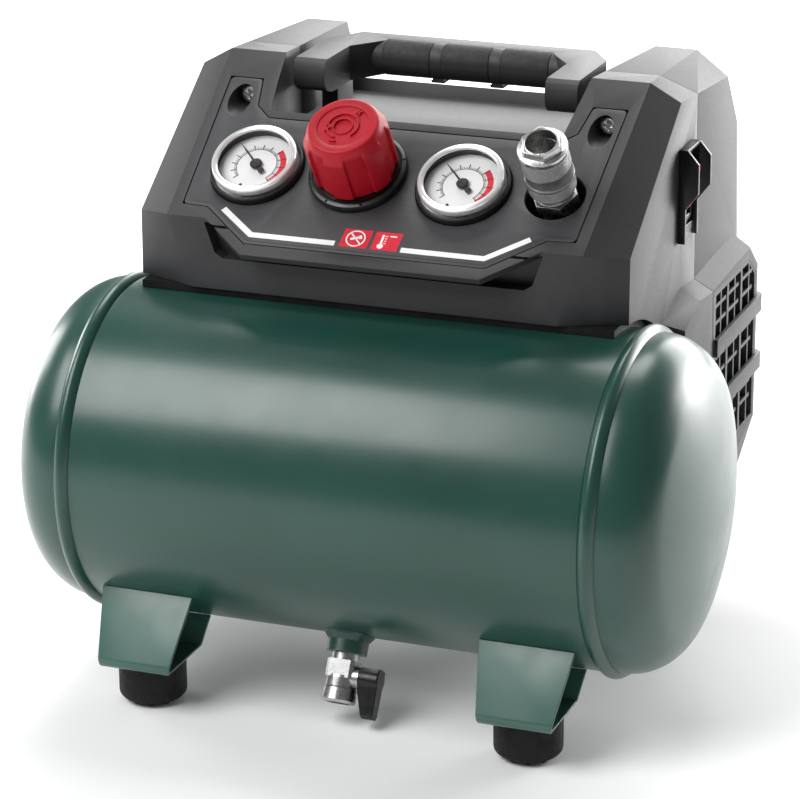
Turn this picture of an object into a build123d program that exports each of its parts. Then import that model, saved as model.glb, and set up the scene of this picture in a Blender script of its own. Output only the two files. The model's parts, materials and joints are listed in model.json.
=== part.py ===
"""Small portable air compressor: steel tank on feet, moulded pump housing, gauges, regulator, coupler."""
import math
import os

from build123d import *

os.makedirs("parts", exist_ok=True)

# Driving dimensions, mm.  The tank axis runs along X; the floor is Z = 0.
axis_height = 108.0
axis_back = -56.6
tank_radius = 80.0
tank_wall = 2.0
shell_half = 124.9
weld_width = 7.7
weld_crest = 3.0
head_radius = 79.5
head_wall = 2.2
head_knuckle = 27.5
head_crown = 195.0
foot_x = 95.1
front_foot_y = -57.2
rear_foot_y = 125.0
foot_radius = 16.3
foot_top = -87.8
foot_bottom = -106.5
stud_height = 1.5
sheet = 2.0
cover_wall = 3.0
recess_depth = 8.6
cover_half = 122.0
shroud_step = 9.6
face_tilt = 34.0
face_front_y = -7.6
face_front_z = 118.1
panel_thick = 3.0
seam_gap = 0.4
motor_y = 135.0
motor_z = 12.0
screw_x = (-91.3, 91.3)
screw_z = 159.6
pump_bolts = [(-9, 113), (-9, 137), (63, 113), (63, 137)]

# Frames.  In each, local numbers are measured from the tank axis or from the sloping face's lower edge.
base = Vector(0, axis_back, axis_height)
side = Plane(origin=base, x_dir=(0, 1, 0), z_dir=(1, 0, 0))
front = Plane(origin=base, x_dir=(1, 0, 0), z_dir=(0, -1, 0))
top = Plane(origin=base, x_dir=(1, 0, 0), z_dir=(0, 0, 1))
tilt = math.radians(face_tilt)
face = Plane(
    origin=base + Vector(0, face_front_y, face_front_z),
    x_dir=(1, 0, 0),
    z_dir=(0, -math.sin(tilt), math.cos(tilt)),
)
drain_lean = math.radians(30.0)
drain_axis = Vector(0, -math.sin(drain_lean), -math.cos(drain_lean))
drain_origin = base + drain_axis * tank_radius
drain = Plane(origin=drain_origin, x_dir=(1, 0, 0), z_dir=drain_axis)
drain_side = Plane(origin=drain_origin, x_dir=drain_axis, z_dir=(1, 0, 0))
drain_face = Plane(
    origin=drain_origin,
    x_dir=(1, 0, 0),
    z_dir=(0, math.cos(drain_lean), -math.sin(drain_lean)),
)


def outline(plane, points, grow=0.0):
    """Closed polygon on a plane, grown or shrunk by an offset."""
    with BuildSketch(plane) as sketch:
        with BuildLine():
            Polyline(*points, close=True)
        make_face()
        if grow:
            offset(amount=grow, kind=Kind.INTERSECTION)
    return sketch.sketch


def rectangle(plane, low, high):
    """Rectangle on a plane from its low corner to its high corner."""
    return outline(plane, [low, (high[0], low[1]), high, (low[0], high[1])])


def disc(plane, radius, place=(0, 0), hole=0.0):
    """Disc or ring on a plane."""
    with BuildSketch(plane) as sketch:
        with Locations(place):
            Circle(radius)
            if hole:
                Circle(hole, mode=Mode.SUBTRACT)
    return sketch.sketch


def channel(plane, points):
    """Bent sheet profile: a rounded path thickened to its left."""
    with BuildSketch(plane) as sketch:
        with BuildLine():
            FilletPolyline(*points, radius=4.0)
            offset(amount=sheet, side=Side.LEFT)
        make_face()
    return sketch.sketch


def turning_plane(plane, place=(0, 0)):
    """Plane that holds the normal of another plane: local X is the radius, local Y the height."""
    return Plane(
        origin=plane.from_local_coords((place[0], place[1], 0)),
        x_dir=plane.x_dir,
        z_dir=-plane.y_dir,
    )


def normal_axis(plane, place=(0, 0)):
    """Axis along a plane's normal through a point of that plane."""
    return Axis(plane.from_local_coords((place[0], place[1], 0)), plane.z_dir)


def turned(plane, points, place=(0, 0)):
    """Solid of revolution about a plane's normal from (radius, height) points."""
    with BuildPart() as body:
        revolve(outline(turning_plane(plane, place), points), axis=normal_axis(plane, place))
    return body.part


def box(low, high):
    """Box between two corners given from the tank axis."""
    with BuildPart() as body:
        extrude(rectangle(top.offset(low[2]), low[:2], high[:2]), amount=high[2] - low[2])
    return body.part


def tank_space(radius):
    """Cylinder about the tank axis that clears whatever is cut with it."""
    with BuildPart() as body:
        extrude(disc(side, radius), amount=200, both=True)
    return body.part


def save(piece, name):
    """Label a finished piece and write its STEP file."""
    piece.part.label = name
    export_step(piece.part, f"parts/{name}.step")


# ---------------------------------------------------------------- tank
with BuildPart() as tank_shell:
    extrude(disc(side, tank_radius, hole=tank_radius - tank_wall), amount=shell_half, both=True)
    for port in ((5, 52), (45, 45)):
        extrude(disc(top.offset(40), 4.0, port), amount=60, mode=Mode.SUBTRACT)
    extrude(disc(drain.offset(-6), 5.0), amount=8, mode=Mode.SUBTRACT)
save(tank_shell, "tank_shell")

# Dished heads: a crown arc and a knuckle arc that meet tangentially, with a skirt inside the shell.
dome_x = shell_half + weld_width
meet = math.asin((head_radius - head_knuckle) / (head_crown - head_knuckle))
crown_centre = dome_x - (head_crown - head_knuckle) * math.cos(meet)
skirt_radius = tank_radius - tank_wall - 0.1


def head_points(inset):
    """Knuckle start, knuckle middle, junction, crown middle and apex as (x, radius)."""
    knuckle = head_knuckle - inset
    crown = head_crown - inset
    middle = (math.pi / 2 + meet) / 2
    knuckle_centre = (dome_x, head_radius - head_knuckle)
    return [
        (knuckle_centre[0], knuckle_centre[1] + knuckle),
        (knuckle_centre[0] + knuckle * math.cos(middle), knuckle_centre[1] + knuckle * math.sin(middle)),
        (crown_centre + crown * math.cos(meet), crown * math.sin(meet)),
        (crown_centre + crown * math.cos(meet / 2), crown * math.sin(meet / 2)),
        (crown_centre + crown, 0),
    ]


for name, sign in (("left", -1), ("right", 1)):
    outer = head_points(0)
    inner = head_points(head_wall)
    with BuildPart() as head:
        with BuildSketch(Plane(origin=base, x_dir=(sign, 0, 0), z_dir=(0, -sign, 0))):
            with BuildLine():
                ThreePointArc(outer[0], outer[1], outer[2])
                ThreePointArc(outer[2], outer[3], outer[4])
                Line(outer[4], inner[4])
                ThreePointArc(inner[4], inner[3], inner[2])
                ThreePointArc(inner[2], inner[1], inner[0])
                Polyline(
                    inner[0],
                    (dome_x - 2, skirt_radius - 2.0),
                    (dome_x - 14, skirt_radius - 2.0),
                    (dome_x - 14, skirt_radius),
                    (dome_x, skirt_radius),
                    outer[0],
                )
            make_face()
        revolve(axis=Axis(base, (1, 0, 0)))
    save(head, f"tank_head_{name}")

# Welded seam beads between the shell and the heads.
with BuildPart() as head_welds:
    for sign in (-1, 1):
        with BuildSketch(Plane(origin=base, x_dir=(sign, 0, 0), z_dir=(0, -sign, 0))):
            with BuildLine():
                Polyline(
                    (dome_x - 0.05, head_radius + 0.4),
                    (dome_x - 0.05, skirt_radius + 0.1),
                    (shell_half + 0.05, skirt_radius + 0.1),
                    (shell_half + 0.05, tank_radius),
                )
                ThreePointArc(
                    (shell_half + 0.05, tank_radius),
                    (shell_half + weld_width / 2, tank_radius + weld_crest),
                    (dome_x - 0.05, head_radius + 0.4),
                )
            make_face()
        revolve(axis=Axis(base, (1, 0, 0)))
save(head_welds, "head_welds")

# ---------------------------------------------------------------- feet and brackets
tank_clear = tank_space(tank_radius + 0.1)

# Front brackets: bent channels whose flanges lean 30 degrees forward and whose sides taper down.
channel_outer = [(-54.0, -42.75), (-82.0, foot_top), (-39.3, foot_top), (-24.0, -60.0)]
for name, sign in (("left", -1), ("right", 1)):
    with BuildPart() as bracket:
        extrude(channel(side.offset(sign * foot_x), channel_outer), amount=26, both=True)
        middle = sign * foot_x
        taper = [(middle - 25.4, -40), (middle - 17.7, -87), (middle + 17.7, -87), (middle + 25.4, -40)]
        extrude(outline(front, taper), amount=120, both=True, mode=Mode.INTERSECT)
        add(tank_clear, mode=Mode.SUBTRACT)
        extrude(disc(top.offset(-90), 3.3, (middle, front_foot_y)), amount=8, mode=Mode.SUBTRACT)
    save(bracket, f"front_bracket_{name}")

# Rear carrier: a plate welded to the tank that carries the pump, with two channels down to the feet.
carrier_low = -54.5
carrier_high = -52.0
with BuildPart() as rear_carrier:
    extrude(rectangle(top.offset(carrier_low), (-100, 50), (100, 172)), amount=carrier_high - carrier_low)
    fillet(rear_carrier.edges().filter_by(Axis.Z), 6)
    add(tank_clear, mode=Mode.SUBTRACT)
    for place in pump_bolts:
        extrude(disc(top.offset(-60), 2.3, place), amount=12, mode=Mode.SUBTRACT)
save(rear_carrier, "rear_carrier")

with BuildPart() as rear_brackets:
    for sign in (-1, 1):
        u_profile = [
            (rear_foot_y - 21, carrier_low - 0.05),
            (rear_foot_y - 21, foot_top),
            (rear_foot_y + 21, foot_top),
            (rear_foot_y + 21, carrier_low - 0.05),
        ]
        extrude(channel(side.offset(sign * (foot_x - 16)), u_profile), amount=17.7, both=True)
        extrude(
            disc(top.offset(-90), 3.3, (sign * (foot_x - 16), rear_foot_y)), amount=8, mode=Mode.SUBTRACT
        )
save(rear_brackets, "rear_brackets")

feet = {
    "front_foot_left": (-foot_x, front_foot_y),
    "front_foot_right": (foot_x, front_foot_y),
    "rear_foot_left": (16 - foot_x, rear_foot_y),
    "rear_foot_right": (foot_x - 16, rear_foot_y),
}
for name, place in feet.items():
    with BuildPart() as foot:
        extrude(disc(top.offset(foot_bottom), foot_radius, place), amount=foot_top - foot_bottom - 0.05)
        fillet(foot.faces().sort_by(Axis.Z)[0].edges(), 3.0)
        fillet(foot.faces().sort_by(Axis.Z)[-1].edges(), 1.0)
        for step in range(12):
            angle = math.radians(30 * step)
            spot = (place[0] + 11.5 * math.cos(angle), place[1] + 11.5 * math.sin(angle))
            extrude(disc(top.offset(foot_bottom - stud_height), 1.6, spot), amount=stud_height + 1)
        extrude(disc(top.offset(foot_bottom - 3), 6.6, place), amount=15, mode=Mode.SUBTRACT)
        extrude(disc(top.offset(foot_bottom), 3.2, place), amount=30, mode=Mode.SUBTRACT)
    save(foot, name)

# One screw with a washer head and a nut for each foot, and four screws that hold the pump to the carrier.
with BuildPart() as frame_screws:
    for place in feet.values():
        seat = foot_bottom + 12
        extrude(disc(top.offset(seat - 5), 5.0, place), amount=4.95)
        extrude(disc(top.offset(seat - 1), 3.0, place), amount=18)
        with BuildSketch(top.offset(foot_top + sheet + 0.05)):
            with Locations(place):
                RegularPolygon(5.6, 6)
        extrude(amount=4.5)
    for place in pump_bolts:
        extrude(disc(top.offset(carrier_low - 3.0), 4.0, place), amount=2.95)
        extrude(disc(top.offset(carrier_low - 1), 2.0, place), amount=18)
save(frame_screws, "frame_screws")

# ---------------------------------------------------------------- drain valve
boss_length = 9.0
with BuildPart() as drain_boss:
    boss_profile = [(5.1, -1.2), (12.5, -1.2), (12.0, 0.6), (9.8, 3.2), (9.8, boss_length), (5.1, boss_length)]
    add(turned(drain, boss_profile))
    add(tank_clear, mode=Mode.SUBTRACT)
save(drain_boss, "drain_boss")

block_start = 12.6
block_end = 21.0
block_mid = 20.0
valve_end = 32.8
with BuildPart() as drain_valve_body:
    add(
        turned(
            drain,
            [(0, 3), (4.9, 3), (4.9, boss_length + 0.1),
             (6.6, boss_length + 0.1), (6.6, block_start + 1), (0, 15)],
        )
    )
    extrude(rectangle(drain.offset(block_start), (-6.8, -6.8), (6.8, 6.8)), amount=block_end - block_start)
    chamfer(drain_valve_body.edges().filter_by(Axis(drain_origin, drain_axis)).filter_by(GeomType.LINE), 1.6)
    add(
        turned(
            drain,
            [(0, block_end - 1), (7.5, block_end - 1), (7.7, 21.4), (7.7, 25.3), (7.4, 25.6), (8.0, 26.1),
             (8.4, valve_end - 1.2), (7.6, valve_end), (0, valve_end)],
        )
    )
    extrude(disc(drain_side.offset(4.5), 5.5, (block_mid, 0)), amount=5.0)
    extrude(disc(drain, 2.6), amount=60, mode=Mode.SUBTRACT)
    extrude(disc(drain.offset(valve_end - 5.5), 5.6), amount=20, mode=Mode.SUBTRACT)
    with Locations(drain.location * Location((0, 0, block_mid))):
        Sphere(4.8, mode=Mode.SUBTRACT)
    extrude(disc(drain_side, 2.05, (block_mid, 0)), amount=12, mode=Mode.SUBTRACT)
save(drain_valve_body, "drain_valve_body")

with BuildPart() as drain_valve_ball:
    with Locations(drain.location * Location((0, 0, block_mid))):
        Sphere(4.5)
    extrude(disc(drain_side.offset(2), 2.0, (block_mid, 0)), amount=15)
    extrude(disc(drain.offset(block_mid - 8), 2.2), amount=16, mode=Mode.SUBTRACT)
save(drain_valve_ball, "drain_valve_ball")

# Wing lever: a hub on the stem and a grip that hangs along the valve when the valve is as drawn.
with BuildPart() as drain_lever:
    extrude(disc(drain_side.offset(9.9), 5.6, (block_mid, 0)), amount=9.6)
    grip = [(block_mid - 5, -4.8), (block_mid + 17, -3.7), (block_mid + 18.5, -2.4), (block_mid + 18.5, 2.4),
            (block_mid + 17, 3.7), (block_mid - 5, 4.8)]
    extrude(outline(drain_side.offset(9.9), grip), amount=9.6)
    fillet(drain_lever.faces().sort_by(Axis.X)[-1].edges(), 0.8)
    lever_side = [(9.9, 13.0), (19.6, 13.0), (19.6, 39.0), (13.8, 39.0), (9.9, 26.0)]
    extrude(outline(drain_face, lever_side), amount=12, both=True, mode=Mode.INTERSECT)
    extrude(disc(drain_side, 2.02, (block_mid, 0)), amount=18, mode=Mode.SUBTRACT)
save(drain_lever, "drain_lever")

# ---------------------------------------------------------------- housing covers
upper_profile = [
    (-8.1, 83.9), (-7.6, 118.1), (80.9, 177.8), (170.5, 173.1),
    (190.5, 137.0), (195.6, 74.0), (195.6, 55.0), (-8.1, 55.0)
]
# Each cut plane of the upper cover: a point on it and its outward normal, for the +X side.
corner_cuts = [
    ((103.2, -7.6, 118.1), (0.426, -0.518, 0.742)),
    ((103.2, -7.6, 118.1), (0.524, -0.852, 0.018)),
    ((103.2, -7.6, 118.1), (0.340, -0.934, -0.107)),
    ((106.8, 80.9, 177.8), (0.4875, 0.0649, 0.8708)),
    ((122.0, 184.6, 74.0), (0.705, 0.705, 0.056)),
    ((122.0, 158.7, 166.4), (0.579, 0.670, 0.465)),
]
shroud_profile = [
    (56.5, 68.0), (85.0, 77.5), (108.0, 75.2), (176.5, 79.0), (196.2, 62.5), (194.5, -23.5), (167.0, -40.0),
    (150.0, -50.0), (52.0, -50.0)
]
valley_profile = [
    (49.6, 157.7), (52.0, 143.0), (172.0, 137.0), (175.5, 143.0),
    (186.0, 139.2), (215.0, 139.2), (215.0, 215.0),
    (49.6, 215.0)
]
valley_plan = [(74.0, 45.0), (74.0, 49.6), (78.0, 81.0), (82.0, 172.0), (84.0, 215.0)]
panel_profile = [
    (-100.6, 88.6), (-84.0, 88.5), (-81.0, 71.5), (-73.0, 64.5),
    (73.0, 64.5), (81.0, 71.5), (84.0, 88.5), (100.6, 88.6),
    (97.5, 7.7), (84.6, 7.0), (59.6, -12.6), (-59.6, -12.6), (-84.6, 7.0), (-97.5, 7.7)
]
gauge_places = {"tank": (-68.0, 33.0), "outlet": (36.0, 33.0)}
knob_place = (-17.0, 35.0)
coupler_place = (80.5, 33.5)


def upper_body(inset):
    """Upper cover as a solid, shrunk by an inset."""
    with BuildPart() as body:
        extrude(outline(side, upper_profile, -inset), amount=cover_half - inset, both=True)
        for point, normal in corner_cuts:
            for sign in (-1, 1):
                away = Vector(sign * normal[0], normal[1], normal[2]).normalized()
                spot = base + Vector(sign * point[0], point[1], point[2]) - away * inset
                split(bisect_by=Plane(origin=spot, z_dir=away), keep=Keep.BOTTOM)
    return body.part


def lower_body(inset):
    """Wider rear block as a solid with drafted ends, shrunk by an inset."""
    with BuildPart() as body:
        extrude(outline(side, shroud_profile, -inset), amount=cover_half - inset)
        step_plane = side.offset(cover_half - inset)
        extrude(outline(step_plane, shroud_profile, -inset), amount=shroud_step, taper=30)
        mirror(about=Plane.YZ)
    return body.part


def valley(grow):
    """Space under and around the carrying handle, grown by an offset."""
    plan = valley_plan + [(-x, y) for x, y in reversed(valley_plan)]
    with BuildPart() as body:
        extrude(outline(side, valley_profile, grow), amount=110, both=True)
        extrude(outline(top, plan, grow), amount=260, mode=Mode.INTERSECT)
    return body.part


def housing():
    """Whole moulded housing before it is split: walls, handle valley, lip, ledge and openings."""
    recess = [(-84.2, 116.0), (-79.0, 101.5), (-75.0, 99.0), (75.0, 99.0), (79.0, 101.5), (84.2, 116.0)]
    lip = [(-83.7, 0), (-59.0, -19.5), (59.0, -19.5), (83.7, 0), (83.7, 3), (-83.7, 3)]
    trough = upper_body(0) & valley(cover_wall)
    with BuildPart() as shell:
        add(upper_body(0))
        add(lower_body(0))
        add(upper_body(cover_wall), mode=Mode.SUBTRACT)
        add(lower_body(cover_wall), mode=Mode.SUBTRACT)
        extrude(outline(front.offset(12), recess), amount=-20, mode=Mode.SUBTRACT)
        add(trough)
        add(valley(0), mode=Mode.SUBTRACT)
        extrude(outline(face, lip), amount=-3.5)
        extrude(outline(front.offset(5.6), recess, cover_wall), amount=-(recess_depth + cover_wall - 2.4))
        extrude(outline(front.offset(12), recess), amount=-(recess_depth + 4.0), mode=Mode.SUBTRACT)
        extrude(outline(face.offset(-6.0), panel_profile, 2.5), amount=2.9)
        extrude(outline(face.offset(-8.0), panel_profile, -3.5), amount=10, mode=Mode.SUBTRACT)
        extrude(outline(face.offset(-panel_thick - 0.1), panel_profile, 0.45), amount=8, mode=Mode.SUBTRACT)
        for x in screw_x:
            extrude(disc(front.offset(-70.5), 6.0, (x, screw_z)), amount=-14)
            extrude(disc(front.offset(-30), 7.4, (x, screw_z)), amount=-40.4, mode=Mode.SUBTRACT)
            extrude(disc(front.offset(-60), 1.9, (x, screw_z)), amount=-30, mode=Mode.SUBTRACT)
        add(box((115, 81.9, 110.6), (126, 98.1, 142.0)), mode=Mode.SUBTRACT)
        extrude(outline(side, grille_window, 0.1), amount=140, both=True, mode=Mode.SUBTRACT)
        extrude(disc(top.offset(-60), 6.2, gland_place), amount=30, mode=Mode.SUBTRACT)
        for place in pump_bolts:
            extrude(disc(top.offset(-60), 2.3, place), amount=20, mode=Mode.SUBTRACT)
        add(tank_space(84.0), mode=Mode.SUBTRACT)
    return shell.part


def front_space(gap):
    """Everything ahead of the moulding seam."""
    seam = [(-150, 108.5), (-122, 108.5), (-106, 100), (106, 100), (122, 108.5), (150, 108.5)]
    plan = seam + [(150, -90), (-150, -90)]
    with BuildPart() as body:
        extrude(outline(top.offset(-70), plan, gap), amount=280)
    return body.part


# Grille window of the rear block.
grille_window = [(113.6, -19.4), (186.0, -19.4), (186.0, 57.0), (174.0, 66.6), (113.6, 66.6)]
gland_place = (111, 148)
whole_housing = housing()

with BuildPart() as front_cover:
    add(whole_housing)
    add(front_space(0), mode=Mode.INTERSECT)
save(front_cover, "front_cover")

# Two bands cross each grille window and stand 2 mm proud of the rear cover.
band_plan = [(128.8, 112), (133.6, 112), (133.6, 192.3), (131.0, 195.0), (128.8, 195.0)]
band_levels = ((35.0, 44.0), (4.6, 13.0))
with BuildPart() as rear_cover:
    add(whole_housing)
    add(front_space(seam_gap), mode=Mode.SUBTRACT)
    for low, high in band_levels:
        for sign in (-1, 1):
            extrude(outline(top.offset(low), [(sign * x, y) for x, y in band_plan]), amount=high - low)
            space_plan = [(125.0, 113.5), (131.6, 113.5), (131.6, 186.1), (125.0, 186.1)]
            space = [(sign * x, y) for x, y in space_plan]
            extrude(outline(top.offset(low - 1), space), amount=high - low + 2, mode=Mode.SUBTRACT)
save(rear_cover, "rear_cover")

# Grilles: a rim, broad and narrow uprights in turn, and short cross bars that start at each broad upright.
grille_depth = 2.4
grille_rim = 1.2
broad_uprights = (136.0, 160.6)
narrow_uprights = (123.7, 148.6, 174.2)
cross_starts = (113.6, 136.0, 160.6)
cross_levels = (60.0, 51.4, 32.9, 24.3, 2.0, -6.0)
for name, sign in (("left", -1), ("right", 1)):
    plate = side.offset(131.5 - grille_depth) if sign > 0 else side.offset(-131.5)
    with BuildPart() as grille:
        extrude(outline(plate, grille_window), amount=grille_depth)
        extrude(outline(plate.offset(-1), grille_window, -grille_rim), amount=5, mode=Mode.SUBTRACT)
        for spots, half in ((broad_uprights, 1.5), (narrow_uprights, 0.85)):
            for y in spots:
                extrude(rectangle(plate, (y - half, -19.4), (y + half, 66.6)), amount=grille_depth)
        for y in cross_starts:
            for z in cross_levels:
                extrude(rectangle(plate, (y, z - 0.95), (y + 19.0, z + 0.95)), amount=grille_depth)
        extrude(outline(plate.offset(-1), grille_window), amount=5, mode=Mode.INTERSECT)
    save(grille, f"vent_grille_{name}")


def screw_tube(x):
    """Moulded tube behind the panel that a cover screw sits in."""
    with BuildPart() as tube:
        extrude(disc(front.offset(-40), 7.1, (x, screw_z)), amount=-30.2)
        split(bisect_by=face.offset(-0.1), keep=Keep.BOTTOM)
    return tube.part


with BuildPart() as control_panel:
    extrude(outline(face.offset(-panel_thick), panel_profile), amount=panel_thick)
    fillet(control_panel.edges().filter_by(Axis(face.origin, face.z_dir)), 2.5)
    for place in gauge_places.values():
        extrude(disc(face.offset(-10), 23.0, place), amount=20, mode=Mode.SUBTRACT)
    extrude(disc(face.offset(-10), 17.4, knob_place), amount=20, mode=Mode.SUBTRACT)
    extrude(disc(face.offset(-10), 14.3, coupler_place), amount=20, mode=Mode.SUBTRACT)
    for x in screw_x:
        add(screw_tube(x))
        extrude(disc(front.offset(-30), 5.7, (x, screw_z)), amount=-38.4, mode=Mode.SUBTRACT)
        extrude(disc(front.offset(-60), 1.9, (x, screw_z)), amount=-20, mode=Mode.SUBTRACT)
save(control_panel, "control_panel")

with BuildPart() as cover_screws:
    for x in screw_x:
        extrude(disc(front.offset(-68.3), 3.8, (x, screw_z)), amount=3.2)
        extrude(disc(front.offset(-68.2), 1.85, (x, screw_z)), amount=-18)
        for wide, high in ((0.5, 2.3), (2.3, 0.5)):
            cross = rectangle(front.offset(-65.0), (x - wide, screw_z - high), (x + wide, screw_z + high))
            extrude(cross, amount=-1.8, mode=Mode.SUBTRACT)
save(cover_screws, "cover_screws")

# Seal strip in the gap between the housing's front and side edges and the tank.
with BuildPart() as tank_seal:
    add(box((-118, -6, 76), (118, 6, 90)))
    for x in (-118, 112):
        add(box((x, -6, 55), (x + 6, 55, 90)))
    extrude(disc(side, 83.8, hole=80.2), amount=118, both=True, mode=Mode.INTERSECT)
save(tank_seal, "tank_seal")

# ---------------------------------------------------------------- carrying handle
valley_floor = 143.0
valley_fall = 6.0 / 120.0
bar_y = 129.4
bar_z = 167.7
bar_depth = 20.0
bar_height = 17.3
handle_top = bar_z + bar_height / 2
grip_spans = [(-43.3, -18.3), (-12.5, 12.5), (18.3, 43.3)]
pad_thick = 1.2


def bar_section(plane, grow=0.0):
    """Section of the grip bar: rounded at the front and below, square at the top of its back."""
    with BuildSketch(plane) as sketch:
        with Locations((bar_y, bar_z)):
            RectangleRounded(bar_depth + 2 * grow, bar_height + 2 * grow, 8.0 + grow)
        with Locations((bar_y + bar_depth / 4, bar_z + bar_height / 4)):
            Rectangle(bar_depth / 2 + 2 * grow, bar_height / 2 + 2 * grow)
    return sketch.sketch


def floor_at(y):
    """Height of the valley floor."""
    return valley_floor - valley_fall * (y - 52.0) + 0.05


def pad_ring(low, high, grow, inset):
    """Front and under side of the grip bar between two places along it, as a thin wrap."""
    with BuildPart() as ring:
        extrude(bar_section(side.offset(low), grow), amount=high - low)
        extrude(bar_section(side.offset(low - 1), -inset), amount=high - low + 2, mode=Mode.SUBTRACT)
        add(box((low - 1, 100, 150), (high + 1, bar_y - 1, 190)), mode=Mode.INTERSECT)
    return ring.part


# Each arm is a bar with a rounded front end, blended into the grip bar by sloping corners.
arm_profile = [
    (80.0, handle_top), (139.4, handle_top), (139.4, 166.0), (133.0, 159.4), (98.0, 158.6), (86.0, 158.8),
    (80.5, 160.2), (77.4, 162.6), (76.1, 166.0), (76.1, 171.5), (77.4, 174.8)
]
arm_plan = [(56.2, 70), (72.4, 70), (72.4, 121), (60.5, 140), (44.0, 140), (44.0, 125.5), (56.2, 109)]
with BuildPart() as handle:
    extrude(outline(side, arm_profile), amount=75, both=True)
    with BuildSketch(top) as plan:
        for sign in (-1, 1):
            with BuildLine():
                Polyline([(sign * x, y) for x, y in arm_plan], close=True)
            make_face()
    extrude(amount=200, mode=Mode.INTERSECT)
    extrude(bar_section(side), amount=50, both=True)
    for sign in (-1, 1):
        ridge_profile = [(-4.8, 160.5), (4.8, 160.5), (3.2, 157.3), (-3.2, 157.3)]
        ridge = [(sign * 15.4 + x, z) for x, z in ridge_profile]
        extrude(outline(front.offset(-124), ridge), amount=-11)
        start = 64.0 if sign > 0 else -72.4
        support = [(112, floor_at(112)), (132, floor_at(132)), (132, 160.5), (112, 160.5)]
        extrude(outline(side.offset(start), support), amount=8.4)
    for low, high in grip_spans:
        add(pad_ring(low, high, 1.0, pad_thick), mode=Mode.SUBTRACT)
save(handle, "handle")

with BuildPart() as grip_pads:
    for low, high in grip_spans:
        add(pad_ring(low + 0.1, high - 0.1, 0.3, pad_thick - 0.1))
save(grip_pads, "grip_pads")

# ---------------------------------------------------------------- switch
cheek_profile = [
    (122.05, 147.0), (126.2, 147.0), (131.7, 140.5), (131.7, 126.0),
    (125.5, 118.0), (125.5, 101.0), (122.05, 101.0)
]
with BuildPart() as switch_guard:
    for y in (79.0, 99.0):
        extrude(outline(front.offset(-y), cheek_profile), amount=-2)
    extrude(rectangle(front.offset(-79.0), (122.05, 145.2), (126.2, 147.0)), amount=-22)
    extrude(rectangle(front.offset(-79.0), (122.05, 101.0), (123.6, 108.0)), amount=-22)
save(switch_guard, "switch_guard")

with BuildPart() as switch_frame:
    add(box((117.0, 82.1, 110.8), (121.9, 97.9, 141.8)))
    add(box((122.0, 81.2, 109.5), (123.0, 98.8, 143.0)))
    add(box((121.5, 82.1, 110.8), (122.5, 97.9, 141.8)))
    add(box((110.0, 83.3, 112.3), (130.0, 96.7, 140.2)), mode=Mode.SUBTRACT)
save(switch_frame, "switch_frame")

with BuildPart() as switch_box:
    add(box((90.0, 83.0, 111.5), (112.5, 97.0, 141.0)))
    for z in (116.0, 126.0, 136.0):
        add(box((83.0, 87.0, z - 0.4), (90.5, 93.0, z + 0.4)))
save(switch_box, "switch_box")

rocker_profile = [
    (117.2, 136.0), (127.4, 136.4), (128.3, 135.0), (125.0, 126.5),
    (123.6, 115.8), (122.6, 115.0), (117.2, 115.0),
    (115.2, 125.5)
]
with BuildPart() as switch_rocker:
    extrude(outline(front.offset(-83.7), rocker_profile), amount=-12.6)
save(switch_rocker, "switch_rocker")

# ---------------------------------------------------------------- gauges
for name, place in gauge_places.items():
    with BuildPart() as gauge_case:
        add(
            turned(
                face,
                [(0, -24), (22.8, -24), (22.8, 3.6), (21.2, 3.6),
                 (21.2, -22), (1.2, -22), (1.2, -22.4), (0, -22.4)],
                place,
            )
        )
        extrude(disc(face.offset(-31), 6.0, place), amount=7.5)
    save(gauge_case, f"{name}_gauge_case")

    with BuildPart() as gauge_bezel:
        add(
            turned(
                face,
                [(17.7, 6.6), (17.7, 7.4), (18.4, 8.1), (19.8, 8.1),
                 (20.9, 7.0), (20.9, 3.7), (19.3, 3.7), (19.3, 6.6)],
                place,
            )
        )
    save(gauge_bezel, f"{name}_gauge_bezel")

    with BuildPart() as gauge_dial:
        extrude(disc(face.offset(1.0), 20.9, place, hole=1.1), amount=0.9)
    save(gauge_dial, f"{name}_gauge_dial")

    # The needle points 45 degrees left of the face's up-slope direction.
    with BuildPart() as gauge_needle:
        reach = math.sqrt(0.5)
        tip = (place[0] - 15.2 * reach, place[1] + 15.2 * reach)
        tail = (place[0] + 6.9 * reach, place[1] - 6.9 * reach)
        blade = [
            (tip[0] - 0.15, tip[1] - 0.15), (tip[0] + 0.15, tip[1] + 0.15),
            (tail[0] + 0.8, tail[1] + 0.8), (tail[0] - 0.8, tail[1] - 0.8)
        ]
        extrude(outline(face.offset(3.0), blade), amount=0.5)
        extrude(disc(face.offset(2.6), 2.9, place), amount=1.5)
        extrude(disc(face.offset(-4), 0.8, place), amount=7)
    save(gauge_needle, f"{name}_gauge_needle")

    with BuildPart() as gauge_lens:
        extrude(disc(face.offset(5.3), 19.2, place), amount=1.2)
    save(gauge_lens, f"{name}_gauge_lens")

# ---------------------------------------------------------------- regulator
with BuildPart() as regulator_body:
    add(
        turned(
            face,
            [(0, -30), (17.0, -30), (17.0, -0.4), (9.0, -0.4), (9.0, 22.0), (8.0, 23.0), (0, 23.0)],
            knob_place,
        )
    )
save(regulator_body, "regulator_body")

with BuildPart() as regulator_collar:
    add(turned(face, [(9.4, 0.1), (23.9, 0.1), (23.9, 2.8), (22.6, 4.2), (9.4, 4.2)], knob_place))
save(regulator_collar, "regulator_collar")

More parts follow.
